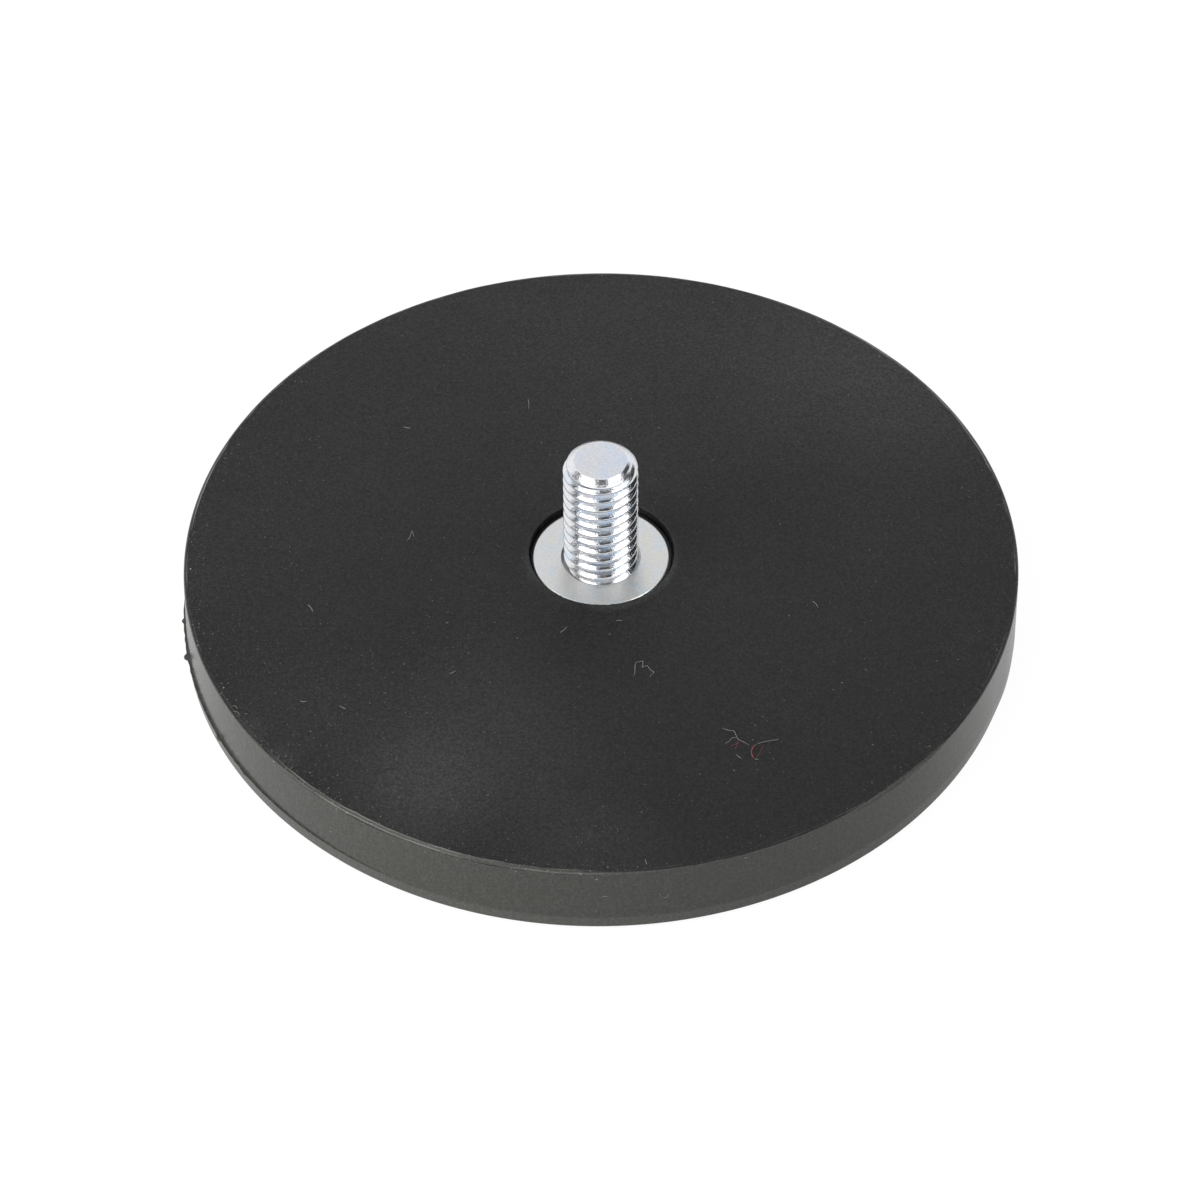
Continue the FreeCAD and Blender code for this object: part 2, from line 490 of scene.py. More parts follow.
def coat_profiles():
    """The coat's profile from the holding face to the parting line, and from there on inwards."""
    below = rounded([
        (0, 0, 0),
        (HOLDING_RADIUS - HOLDING_BEVEL, 0, 0.12),
        (HOLDING_RADIUS, HOLDING_BEVEL, 0.12),
        (PARTING_RADIUS, PARTING_HEIGHT - 0.22, 0),
        (PARTING_RADIUS, PARTING_HEIGHT - 0.16, 0),
    ])
    above = rounded([
        # The upper wall, the back edge and the window's rounded rim
        (PARTING_RADIUS, PARTING_HEIGHT + 0.03, 0),
        (PARTING_RADIUS - 0.1 * DRAFT, PARTING_HEIGHT + 0.1, 0),
        (BACK_RADIUS, COAT_TOP, BACK_ROUNDING),
        (WINDOW_RADIUS + WINDOW_BEVEL, COAT_TOP, 0.04),
        (WINDOW_RADIUS, COAT_TOP - WINDOW_BEVEL, 0.04),
        (WINDOW_RADIUS, WINDOW_BOTTOM, 0.04),
        # A lip of rubber against the flange's side
        (FLANGE_RADIUS + 0.2, WINDOW_BOTTOM, 0),
        (FLANGE_RADIUS + 0.15, FLANGE_FACE - 0.2, 0),
        (FLANGE_RADIUS, FLANGE_FACE - 0.12, 0),
        # The cavity: the flange, the plate, and the barrel with its flare
        (FLANGE_RADIUS, PLATE_HIGH[2], 0),
        (PLATE_HIGH[0], PLATE_HIGH[2], 0),
        (PLATE_HIGH[0], PLATE_LOW[2], 0),
        (BARREL_RADIUS + STAKE_WIDTH, PLATE_LOW[2], 0),
        (BARREL_RADIUS, PLATE_LOW[2] - STAKE_HEIGHT, 0),
        (BARREL_RADIUS, BUSH_LOW[2], 0),
        (0, BUSH_LOW[2], 0),
    ], steps=7)
    return below, above


def make_coat(material):
    """The rubber coat: its moulded outside with the flash, its window, and the cavity inside.

    The mould's lower half sat a little to the left, so the wall below the parting line is a
    circle moved that way: its radius gains the shift times the cosine of the angle from there.
    A short way of it bulges out at the right. The foot of the upper wall leans out after it,
    all but a ledge at the left, which faces up and looks dark. The window is a circle moved to
    the back in the same way, because the bush didn't lie in the middle of the mould's core,
    and its front edge is torn. The arc of the back edge is scaled towards its corner where the
    edge is sharper.
    """
    angles = ring_angles(COAT_COLUMNS)
    angles = angles - CROWDING * np.sin(angles - math.radians(FLASH_LEAK))
    round_rows = np.ones((1, COAT_COLUMNS))
    below, above = coat_profiles()
    flash_heights, flash_share = np.array(FLASH_ROWS).T[:, :, None]

    # The lower wall and the flash
    leftward = np.cos(angles - math.radians(MOULD_SHIFT_ANGLE))
    shift = MOULD_SHIFT * leftward + BULGE * bell(angles, BULGE_ANGLE, BULGE_WIDTH)
    lower = below[:, :1] + (below[:, :1] > 0) * shift
    flash = PARTING_RADIUS + shift + flash_share * flash_line(angles)
    uneven = FLASH_WANDER * waves(angles, 30, 200, 9)
    uneven *= bell(angles, FLASH_LEAK, FLASH_LEAK_WIDTH * 1.5)

    # The upper wall, the back edge and the window
    radius, height = above[:, :1] * round_rows, above[:, 1:] * round_rows
    corner = np.hypot(radius - BACK_RADIUS, height - COAT_TOP) < 2 * BACK_ROUNDING
    sharper = np.where(corner, 1 - edge_share(angles), 0)
    wall_foot = np.clip((COAT_TOP - BACK_ROUNDING - height) / (COAT_TOP - PARTING_HEIGHT), 0, 1)
    wall_foot *= radius > PLATE_HIGH[0]
    leaning = shift - LEDGE * bell(angles, LEDGE_ANGLE, LEDGE_WIDTH)
    window = np.clip((radius - FLANGE_RADIUS) / (WINDOW_RADIUS - FLANGE_RADIUS), 0, 1)
    window *= (radius < WINDOW_RADIUS + 0.3) & (height >= WINDOW_BOTTOM)
    torn = WINDOW_RAGGED * waves(angles, 8, 90, 21)
    torn *= bell(angles, WINDOW_TORN, WINDOW_TORN_WIDTH)
    askew = WINDOW_SHIFT[0] * np.cos(angles) + WINDOW_SHIFT[1] * np.sin(angles) + torn
    upper = radius + sharper * (BACK_RADIUS - radius) + wall_foot * leaning + window * askew

    radii = np.concatenate([lower, flash, upper])
    heights = np.concatenate([below[:, 1:] * round_rows, PARTING_HEIGHT + flash_heights + uneven,
                              height + sharper * (COAT_TOP - height)])
    points, faces = turned_grid(angles, radii, heights)
    coat = mesh_piece("coat", points, faces, material, "rubber", ["rubber_coat"])
    around = np.arctan2(points[:, 1], points[:, 0])
    share = coat.data.attributes.new("edge_share", "FLOAT", "POINT")
    share.data.foreach_set("value", np.interp(around, *even_edge_share()))
    return coat


def make_bush(material):
    """The flanged bush, with its countersunk mouth and female thread a small gap off the pin's."""
    angles = ring_angles(THREAD_COLUMNS)
    outside = rounded([
        (0, BUSH_LOW[2], 0),
        (BARREL_RADIUS, BUSH_LOW[2], 0),
        (BARREL_RADIUS, PLATE_LOW[2] - STAKE_HEIGHT, 0),
        (BARREL_RADIUS + STAKE_WIDTH, PLATE_LOW[2], 0),
        (BARREL_RADIUS, PLATE_LOW[2], 0),
        (BARREL_RADIUS, PLATE_HIGH[2], 0),
        (FLANGE_RADIUS, PLATE_HIGH[2], 0),
        (FLANGE_RADIUS, FLANGE_FACE, FLANGE_BEVEL),
        (MOUTH_RADIUS + 0.02, FLANGE_FACE, 0),
    ], steps=6)
    round_rows = np.ones((1, THREAD_COLUMNS))
    depths = np.concatenate([np.arange(0, MOUTH_DEPTH, FINE_STEP),
                             np.arange(MOUTH_DEPTH, FLANGE_FACE - PIN_LOW[2], COARSE_STEP)])
    bore_heights = (FLANGE_FACE - depths)[:, None] * round_rows
    mouth = MOUTH_RADIUS - depths[:, None]
    bore = np.maximum(thread_radius(angles, bore_heights) + THREAD_GAP, mouth)
    floor = np.array([[PIN_LOW[2]], [PIN_LOW[2]]]) * round_rows
    radii = np.concatenate([outside[:, :1] * round_rows, bore, bore[-1:], 0 * round_rows])
    heights = np.concatenate([outside[:, 1:] * round_rows, bore_heights, floor])
    points, faces = turned_grid(angles, radii, heights)
    mesh_piece("bush", points, faces, material, "bush_zinc", ["flanged_bush"])


def make_pin(material):
    """The threaded pin: hexagon socket below, thread cut back by both chamfers, flat point above.

    The upper chamfer is a little convex: with u the share of its height below the top, its
    radius gains 1 - (1 - u) ** bulge of its whole swell. The thread was rolled, so its last
    groove runs out: above the fade its floor rises to a small depth under the blank's surface.
    """
    angles = ring_angles(THREAD_COLUMNS)
    round_rows = np.ones((1, THREAD_COLUMNS))
    sixth = math.pi / 3
    socket = SOCKET_FLATS / 2 / np.cos(angles % sixth - sixth / 2)
    drill_rise = SOCKET_FLATS / 2 * math.tan(math.radians(30))
    foot, top = PIN_LOW[2], PIN_HIGH[2]
    swell = THREAD_RADIUS - POINT_RADIUS
    start_angle = math.atan(POINT_HEIGHT / swell / POINT_BULGE)
    heights = np.concatenate([np.arange(foot, FINE_FROM, COARSE_STEP),
                              np.arange(FINE_FROM, top - 0.05, PITCH / ROWS_PER_TURN)])
    heights = heights[:, None] * round_rows
    thread = thread_radius(angles, heights)
    foot_cone = THREAD_RADIUS - THREAD_DEPTH + (heights - foot)
    below_top = np.clip((top - heights) / POINT_HEIGHT, 0, 1)
    point = POINT_RADIUS + swell * (1 - (1 - below_top) ** POINT_BULGE)
    fade = np.clip((LAST_GROOVE_FADE[0] - top + heights) / np.ptp(LAST_GROOVE_FADE), 0, 1)
    groove_floor = np.minimum(BLANK_RADIUS, point) - LAST_GROOVE_DEPTH
    thread = thread + fade ** 2 * (3 - 2 * fade) * np.maximum(groove_floor - thread, 0)
    outside = np.minimum(np.minimum(thread, foot_cone), point)
    bend = np.linspace(start_angle, 0, 4)[:, None]
    flat_radius = POINT_RADIUS - POINT_ROUNDING * math.tan(start_angle / 2)
    edge = flat_radius + POINT_ROUNDING * np.sin(bend)
    edge_heights = top - POINT_ROUNDING * (1 - np.cos(bend))
    inner = np.array([[foot + SOCKET_DEPTH + drill_rise], [foot + SOCKET_DEPTH],
                      [foot + SOCKET_DEPTH], [foot]])
    radii = np.concatenate([
        0 * round_rows, SOCKET_FLATS / 2 * round_rows, socket[None, :], socket[None, :], outside,
        edge * round_rows, 0 * round_rows])
    heights = np.concatenate([inner * round_rows, heights, edge_heights * round_rows,
                              top * round_rows])
    points, faces = turned_grid(angles, radii, heights)
    mesh_piece("threaded_pin_finished", points, faces, material, "pin_zinc", ["threaded_pin"])


def tube(path, radius):
    """Points and faces of a closed six-sided tube along a path, tapering in at its ends.

    Each ring stands across the path's direction, with one of its axes kept close to up.
    """
    along = np.gradient(path, axis=0)
    along /= np.linalg.norm(along, axis=1)[:, None]
    across = np.cross(along, [0, 0, 1.0])
    across /= np.linalg.norm(across, axis=1)[:, None] + 1e-9
    upward = np.cross(across, along)
    sides = 6
    angles = ring_angles(sides)
    swell = radius * np.clip(np.sin(np.linspace(0.15, math.pi - 0.15, len(path))) * 2, 0.3, 1)
    ring = (across[:, None] * np.cos(angles)[:, None] + upward[:, None] * np.sin(angles)[:, None])
    points = (path[:, None] + ring * swell[:, None, None]).reshape(-1, 3)
    here = np.arange(sides)
    beside = (here + 1) % sides
    row = np.arange(len(path) - 1)[:, None] * sides
    quads = np.stack([row + here, row + sides + here, row + sides + beside, row + beside],
                     axis=2).reshape(-1, 4)
    last = (len(path) - 1) * sides
    return points, quads.tolist() + [here.tolist(), (last + here[::-1]).tolist()]


def smooth_path(corners, step=0.12):
    """A smooth line through corners: a Catmull-Rom curve of the corner number."""
    corners = np.asarray(corners, float)
    first, last = 2 * corners[:1] - corners[1:2], 2 * corners[-1:] - corners[-2:-1]
    ends = np.concatenate([first, corners, last])
    length = np.linalg.norm(np.diff(corners, axis=0), axis=1).sum()
    t = np.linspace(0, len(corners) - 1, max(4, int(length / step)))
    i = np.minimum(t.astype(int), len(corners) - 2)
    u = (t - i)[:, None]
    p0, p1, p2, p3 = ends[i], ends[i + 1], ends[i + 2], ends[i + 3]
    return 0.5 * (2 * p1 + (p2 - p0) * u + (2 * p0 - 5 * p1 + 4 * p2 - p3) * u ** 2
                  + (3 * p1 - p0 - 3 * p2 + p3) * u ** 3)


def joined(parts):
    """One list of points and one of faces from several pairs of them."""
    points, faces, count = [], [], 0
    for some_points, some_faces in parts:
        points.append(some_points)
        faces += [[count + corner for corner in face] for face in some_faces]
        count += len(some_points)
    return np.concatenate(points), faces


def cut_magnet_pockets(coat):
    """Cuts the pocket of every magnet into the coat, from its floor up into the plate's cavity."""
    angles = ring_angles(POCKET_COLUMNS)
    round_rows = np.ones((1, POCKET_COLUMNS))
    parts = []
    for name in MAGNETS:
        low, high = (np.array(corner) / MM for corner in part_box(name))
        centre, radius = (low + high) / 2, (high[0] - low[0]) / 2
        roof = high[2] + POCKET_REACH
        radii = radius * np.array([[0], [1], [1], [0]]) * round_rows
        heights = np.array([[low[2]], [low[2]], [roof], [roof]]) * round_rows
        points, faces = turned_grid(angles, radii, heights)
        parts.append((points + [centre[0], centre[1], 0], faces))
    points, faces = joined(parts)
    mesh = bpy.data.meshes.new("pockets")
    mesh.from_pydata((points * MM).tolist(), [], faces)
    cutter = new_object("pockets", mesh)
    cut = coat.modifiers.new("pockets", "BOOLEAN")
    cut.operation = "DIFFERENCE"
    cut.solver = "EXACT"
    cut.object = cutter
    bpy.context.view_layer.objects.active = coat
    bpy.ops.object.modifier_apply(modifier=cut.name)
    bpy.data.objects.remove(cutter)


def round_wall(tree, place, radius):
    """Coordinates that follow a round wall: the arc's length at a radius, and the height."""
    axes = add(tree, "ShaderNodeSeparateXYZ", {0: place}).outputs
    angle = add(tree, "ShaderNodeMath", {0: axes[1], 1: axes[0]}, operation="ARCTAN2")
    arc = add(tree, "ShaderNodeMath", {0: angle, 1: radius * MM}, operation="MULTIPLY")
    return add(tree, "ShaderNodeCombineXYZ", {0: arc, 1: axes[2]})


def hazy_top(tree, place, radius):
    """The back face's colour: pale haze in broad clouds and in spots, over a tone that is darkest
    at the front right and paler towards the back.

    The window's rim is rubbed pale in places.
    """
    clouds = add(tree, "ShaderNodeTexNoise", {
        "Vector": place, "Scale": 1 / (16 * MM), "Detail": 3.0, "Roughness": 0.55})
    haze = add(tree, "ShaderNodeMapRange", {0: clouds, 1: 0.3, 2: 0.75, 4: 0.14})
    # A broad tone across the face, paler towards the back and darkest at the front right
    backward = add(tree, "ShaderNodeVectorMath", {0: place, 1: PALER_TOWARDS}, operation="DOT_PRODUCT")
    layers = [add(tree, "ShaderNodeMapRange", {
        0: backward.outputs["Value"], 1: -40 * MM, 2: 40 * MM, 3: -0.05, 4: 0.2})]
    for pixel, reach, amount in HAZE_SPOTS:
        far = add(tree, "ShaderNodeVectorMath", {
            0: place, 1: on_back_face(pixel)[0] * MM}, operation="DISTANCE")
        layers.append(add(tree, "ShaderNodeMapRange", {
            0: far.outputs["Value"], 1: reach * MM, 2: 0.0, 4: amount},
            interpolation_type="SMOOTHSTEP"))
    rim = add(tree, "ShaderNodeMapRange", {
        0: radius, 1: (WINDOW_RADIUS + 0.9) * MM, 2: WINDOW_RADIUS * MM, 4: 0.8})
    rubbed = add(tree, "ShaderNodeMapRange", {0: clouds, 1: 0.35, 2: 0.6})
    layers.append(add(tree, "ShaderNodeMath", {0: rim, 1: rubbed}, operation="MULTIPLY"))
    for layer in layers:
        haze = add(tree, "ShaderNodeMath", {0: haze, 1: layer})
    return add(tree, "ShaderNodeMix", {
        0: haze, 6: linear("#1d1d1d"), 7: linear("#3d3d3d")}, data_type="RGBA").outputs[2]


def lit_streaked_wall(tree, along_wall, height):
    """The wall's colour: painted paler than the top, for the bright reflection that it catches at
    grazing angles, streaked by the mould, and paler still from a ragged line downwards.
    """
    streaking = add(tree, "ShaderNodeVectorMath", {
        0: along_wall, 1: (1 / (0.4 * MM), 1 / (2.5 * MM), 0)}, operation="MULTIPLY")
    streaks = add(tree, "ShaderNodeTexNoise", {
        "Vector": streaking, "Scale": 1.0, "Detail": 3.0, "Roughness": 0.6})
    ragged = add(tree, "ShaderNodeMath", {0: streaks, 1: 0.9 * MM, 2: height},
                 operation="MULTIPLY_ADD")
    low = add(tree, "ShaderNodeMapRange", {
        0: ragged, 1: (PARTING_HEIGHT + 0.5) * MM, 2: (PARTING_HEIGHT + 0.2) * MM, 4: 0.45})
    streaked = add(tree, "ShaderNodeMapRange", {0: streaks, 1: 0.3, 2: 0.7, 3: -0.12, 4: 0.16})
    paler = add(tree, "ShaderNodeMath", {0: low, 1: streaked}, use_clamp=True)
    # The wall's colours are painted light: far paler than the top's, standing in for its bright
    # grazing reflection
    return add(tree, "ShaderNodeMix", {
        0: paler, 6: linear("#454542"), 7: linear("#5c5c59")}, data_type="RGBA").outputs[2]


def edge_highlighted_and_shaded(tree, colour, down, along_wall, share):
    """A colour with fine lines of painted highlight and shade along the edge: each comes and goes
    along the arc.

    They show most where the edge is round.
    """
    soft_edge = add(tree, "ShaderNodeMapRange", {0: share, 1: 0.35, 2: 0.8, 3: 0.15})
    for depth, width, shade, shift in EDGE_HIGHLIGHT_AND_SHADE_LINES:
        away = add(tree, "ShaderNodeMath", {0: down, 1: depth * MM, 2: width * MM},
                   operation="COMPARE")
        here = add(tree, "ShaderNodeVectorMath", {0: along_wall, 1: (shift, shift, 0)})
        comes = add(tree, "ShaderNodeTexNoise", {
            "Vector": here, "Scale": 1 / (9 * MM), "Detail": 3.0, "Roughness": 0.7})
        drawn = add(tree, "ShaderNodeMapRange", {0: comes, 1: 0.42, 2: 0.62})
        line = add(tree, "ShaderNodeMath", {0: away, 1: drawn}, operation="MULTIPLY")
        line = add(tree, "ShaderNodeMath", {0: line, 1: soft_edge}, operation="MULTIPLY")
        colour = add(tree, "ShaderNodeMix", {
            0: line, 6: colour, 7: linear(shade)}, data_type="RGBA").outputs[2]
    return colour


def dusted(tree, colour, place, surface, down):
    """A colour with dust on it, as points of several sizes: each cell may hold one.

    It is densest at the front left, in patches and by the edge.
    """
    lean = add(tree, "ShaderNodeVectorMath", {0: place, 1: DUSTIEST}, operation="DOT_PRODUCT")
    dusty = add(tree, "ShaderNodeMapRange", {
        0: lean.outputs["Value"], 1: 12 * MM, 2: 42 * MM, 3: 0.75, 4: 1.5})
    edgeward = add(tree, "ShaderNodeMath", {0: down}, operation="ABSOLUTE")
    gathered = add(tree, "ShaderNodeMapRange", {
        0: edgeward, 1: 1.8 * MM, 2: 0.3 * MM, 3: 1.0, 4: 2.2})
    patches = add(tree, "ShaderNodeTexNoise", {"Vector": place, "Scale": 1 / (6 * MM)})
    patchy = add(tree, "ShaderNodeMapRange", {0: patches, 1: 0.3, 2: 0.7, 3: 0.5, 4: 1.5})
    for factor in (patchy, gathered):
        dusty = add(tree, "ShaderNodeMath", {0: dusty, 1: factor}, operation="MULTIPLY")
    for spacing, size, taken, strength in DUST:
        cells = add(tree, "ShaderNodeTexVoronoi", {
            "Vector": surface, "Scale": 1 / (spacing * MM)}, voronoi_dimensions="2D")
        near = add(tree, "ShaderNodeMapRange", {
            0: cells.outputs["Distance"], 1: size / spacing, 2: size / spacing * 0.4, 4: strength})
        chance = add(tree, "ShaderNodeSeparateColor", {0: cells.outputs["Color"]}).outputs
        weight = add(tree, "ShaderNodeMath", {0: chance[0], 1: taken}, operation="LESS_THAN")
        for factor in (chance[1], dusty):
            weight = add(tree, "ShaderNodeMath", {0: weight, 1: factor}, operation="MULTIPLY")
        speck = add(tree, "ShaderNodeMath", {0: near, 1: weight},
                    operation="MULTIPLY", use_clamp=True)
        colour = add(tree, "ShaderNodeMix", {
            0: speck, 6: colour, 7: linear("#a3a29e")}, data_type="RGBA").outputs[2]
    return colour


def moulded_rubber():
    """Thermoplastic rubber, moulded: near black, dull on top and satin on the drafted wall.

    The top is cloudy where hands and dust left a pale haze. The rounded edge carries painted
    highlights and shade in fine lines. The wall is streaked by the mould and painted paler than the
    top, for the bright reflection that it catches at grazing angles. Dust lies on all of it.
    """
    material, tree = new_material("moulded_thermoplastic_rubber")
    place = add(tree, "ShaderNodeTexCoord").outputs["Object"]
    height = add(tree, "ShaderNodeSeparateXYZ", {0: place}).outputs[2]
    level_place = add(tree, "ShaderNodeVectorMath", {0: place, 1: (1, 1, 0)}, operation="MULTIPLY")
    radius = add(tree, "ShaderNodeVectorMath", {0: level_place},
                 operation="LENGTH").outputs["Value"]
    along_wall = round_wall(tree, place, BACK_RADIUS)

    # How far down the profile a point lies, in metres: 0 where the edge's rounding starts, which
    # wanders by a twentieth of a millimetre
    down = add(tree, "ShaderNodeMath", {0: radius, 1: height}, operation="SUBTRACT")
    start = (BACK_RADIUS - BACK_ROUNDING - COAT_TOP) * MM
    wander = add(tree, "ShaderNodeTexNoise", {
        "Vector": along_wall, "Scale": 1 / (2.5 * MM), "Detail": 3.0})
    wandered = add(tree, "ShaderNodeMapRange", {
        0: wander, 1: 0.3, 2: 0.7, 3: start - 0.05 * MM, 4: start + 0.05 * MM})
    down = add(tree, "ShaderNodeMath", {0: down, 1: wandered}, operation="SUBTRACT")

    # Where the wall begins, and coordinates that lie across the top and then along the wall
    share = add(tree, "ShaderNodeAttribute", attribute_name="edge_share").outputs["Fac"]
    edge = add(tree, "ShaderNodeMapRange", {0: share, 3: BACK_ROUNDING * MM, 4: 0.0})
    past_edge = add(tree, "ShaderNodeMath", {0: down, 1: edge}, operation="SUBTRACT")
    wall = add(tree, "ShaderNodeMapRange", {0: past_edge, 1: 0.0, 2: 0.1 * MM})
    on_top = add(tree, "ShaderNodeMath", {0: down, 1: BACK_ROUNDING * MM}, operation="LESS_THAN")
    surface = add(tree, "ShaderNodeMix", {0: on_top, 4: along_wall, 5: place},
                  data_type="VECTOR").outputs[1]

    top = hazy_top(tree, place, radius)
    # The wall, painted paler than the top for its grazing reflection, and streaked by the mould
    lit_side = lit_streaked_wall(tree, along_wall, height)
    body = add(tree, "ShaderNodeMix", {0: wall, 6: top, 7: lit_side}, data_type="RGBA")

    # The moulded grain mottles the rubber, most on top, and roughens it
    grain = add(tree, "ShaderNodeTexNoise", {
        "Vector": place, "Scale": 1 / (0.3 * MM), "Detail": 2.0, "Roughness": 0.6})
    mottle = add(tree, "ShaderNodeMapRange", {0: grain, 1: 0.3, 2: 0.7, 3: 0.58, 4: 1.42})
    mottled_less = add(tree, "ShaderNodeMapRange", {0: wall, 3: 1.0, 4: 0.5})
    mottled = add(tree, "ShaderNodeMix", {
        0: mottled_less, 6: body.outputs[2], 7: mottle}, data_type="RGBA", blend_type="MULTIPLY")
    # Painted highlights and shade, in fine lines along the rounded edge
    colour = edge_highlighted_and_shaded(tree, mottled.outputs[2], down, along_wall, share)
    colour = dusted(tree, colour, place, surface, down)

    coarse = add(tree, "ShaderNodeMix", {0: wall, 2: 0.4, 3: 0.55}, data_type="FLOAT")
    bump = add(tree, "ShaderNodeBump", {"Height": grain, "Strength": coarse, "Distance": 0.04 * MM})
    gloss = add(tree, "ShaderNodeMix", {0: wall, 2: 0.5, 3: 0.2}, data_type="FLOAT")
    shader = add(tree, "ShaderNodeBsdfPrincipled", {
        "Base Color": colour, "Roughness": gloss, "IOR": 1.5,
        "Specular IOR Level": 0.2, "Normal": bump})
    add(tree, "ShaderNodeOutputMaterial", {"Surface": shader})
    return material


def plated_metal(name, cool, grey, straw, roughness, fleck, relief, streaks=0.0, point=None):
    """Bright plate on steel: a metal shine, speckled by the plate's fine crystals.

    Real crystals are far finer. They are drawn a few pixels wide, so that they show. Faint cool
    and straw tints of the passivation drift over the plate. A rolled thread also has fine
    streaks that run round it, and its turned point has a roughness of its own.
    """
    material, tree = new_material(name)
    place = add(tree, "ShaderNodeTexCoord").outputs["Object"]
    drift = add(tree, "ShaderNodeTexNoise", {
        "Vector": place, "Scale": 1 / (1.8 * MM), "Detail": 2.0})
    cooled = add(tree, "ShaderNodeMapRange", {0: drift, 1: 0.5, 2: 0.68})
    tint = add(tree, "ShaderNodeMix", {
        0: cooled, 6: linear(grey), 7: linear(cool)}, data_type="RGBA")
    warmed = add(tree, "ShaderNodeMapRange", {0: drift, 1: 0.46, 2: 0.3})
    tinted = add(tree, "ShaderNodeMix", {
        0: warmed, 6: tint.outputs[2], 7: linear(straw)}, data_type="RGBA")
    flecks = add(tree, "ShaderNodeTexNoise", {
        "Vector": place, "Scale": 1 / (fleck * MM), "Detail": 3.0, "Roughness": 0.65})
    speckle = add(tree, "ShaderNodeMapRange", {0: flecks, 1: 0.3, 2: 0.6, 3: 0.88, 4: 1.0})
    shaded = add(tree, "ShaderNodeMix", {
        0: 1.0, 6: tinted.outputs[2], 7: speckle}, data_type="RGBA", blend_type="MULTIPLY")
    rolling = add(tree, "ShaderNodeVectorMath", {
        0: round_wall(tree, place, THREAD_RADIUS), 1: (1 / (1.2 * MM), 1 / (0.14 * MM), 0)},
        operation="MULTIPLY")
    rolled = add(tree, "ShaderNodeTexNoise", {"Vector": rolling, "Scale": 1.0, "Detail": 2.0})
    raised = add(tree, "ShaderNodeMix", {0: streaks, 2: flecks, 3: rolled}, data_type="FLOAT")
    bump = add(tree, "ShaderNodeBump", {"Height": raised, "Strength": 1.0, "Distance": relief * MM})
    dull = add(tree, "ShaderNodeMapRange", {
        0: flecks, 1: 0.3, 2: 0.7, 3: roughness * 0.85, 4: roughness * 1.2})
    if point:
        height = add(tree, "ShaderNodeSeparateXYZ", {0: place}).outputs[2]
        on_point = add(tree, "ShaderNodeMath", {0: height, 1: (PIN_HIGH[2] - POINT_HEIGHT) * MM},
                       operation="GREATER_THAN")
        dull = add(tree, "ShaderNodeMix", {0: on_point, 2: dull, 3: point}, data_type="FLOAT")
    shader = add(tree, "ShaderNodeBsdfPrincipled", {
        "Base Color": shaded.outputs[2], "Metallic": 1.0, "Roughness": dull, "Normal": bump})
    add(tree, "ShaderNodeOutputMaterial", {"Surface": shader})
    return material


def lint_fibre(name, colour):
    """Textile fibre: a fine dull thread, paler than the rubber that it lies on."""
    material, tree = new_material(name)
    place = add(tree, "ShaderNodeTexCoord").outputs["Object"]
    worn = add(tree, "ShaderNodeTexNoise", {"Vector": place, "Scale": 1 / (0.6 * MM)})
    level = add(tree, "ShaderNodeMapRange", {0: worn, 1: 0.3, 2: 0.7, 3: 0.55, 4: 1.0})
    faded = add(tree, "ShaderNodeMix", {
        0: level, 6: linear("#3a3938"), 7: linear(colour)}, data_type="RGBA")
    shader = add(tree, "ShaderNodeBsdfPrincipled", {
        "Base Color": faded.outputs[2], "Roughness": 0.8})
    add(tree, "ShaderNodeOutputMaterial", {"Surface": shader})
    return material


def make_lint():
    """Fibres, lint and crumbs, each where the sight line through its pixel meets the coat."""
    random = np.random.default_rng(11)
    grey, red = [], []
    for fibres, kind in ((GREY_FIBRES, grey), (RED_FIBRES, red)):
        for pixels, radius in fibres:
            path = smooth_path(on_back_face(pixels))
            kind.append(tube(path + [0, 0, radius], radius))
    for pixels, radius in WALL_FIBRES:
        path = smooth_path(on_side_wall(pixels))
        outward = path * [1, 1, 0]
        outward /= np.linalg.norm(outward, axis=1)[:, None]
        grey.append(tube(path + outward * radius, radius))
    for pixels, kind in ((LINT_SPECKS, grey), (RED_SPECKS, red)):
        for place in on_back_face(pixels):
            turn, length = random.uniform(0, math.pi), random.uniform(0.04, 0.16)
            reach = np.array([math.cos(turn), math.sin(turn), 0]) * length
            bow = np.array([-reach[1], reach[0], 0]) * random.uniform(-0.35, 0.35)
            radius = random.uniform(0.018, 0.032)
            path = smooth_path([place - reach, place + bow, place + reach], 0.06)
            kind.append(tube(path + [0, 0, radius], radius))
    grey_fibre = lint_fibre("grey_textile_fibre", "#8a8884")
    mesh_piece("lint_grey", *joined(grey), grey_fibre, None)
    red_fibre = lint_fibre("red_textile_fibre", "#8a4549")
    mesh_piece("lint_red", *joined(red), red_fibre, None)


def towards(azimuth, elevation, distance):
    """A place seen from the pin at an azimuth from the front to the right, and an elevation."""
    a, e = math.radians(azimuth), math.radians(elevation)
    return (distance * math.sin(a) * math.cos(e), -distance * math.cos(a) * math.cos(e),
            distance * math.sin(e) + PIN_MIDDLE[2])


def softbox(name, azimuth, elevation, distance, size, radiance, mirrored):
    """An area lamp that faces the pin, with its power worked out from its radiance."""
    data = bpy.data.lights.new(name, "AREA")
    data.shape = "RECTANGLE"
    data.size, data.size_y = size
    data.energy = radiance * math.pi * size[0] * size[1]
    lamp = new_object(name, data)
    place = Vector(towards(azimuth, elevation, distance))
    lamp.location = place
    lamp.rotation_euler = (Vector(PIN_MIDDLE) - place).to_track_quat("-Z", "Y").to_euler()
    lamp.visible_camera = False
    lamp.visible_glossy = mirrored


def flat_sheet(name, corners, material):
    """A sheet through four corners, in metres."""
    mesh = bpy.data.meshes.new(name)
    mesh.from_pydata(corners, [], [(0, 1, 2, 3)])
    mesh.materials.append(material)
    return new_object(name, mesh)


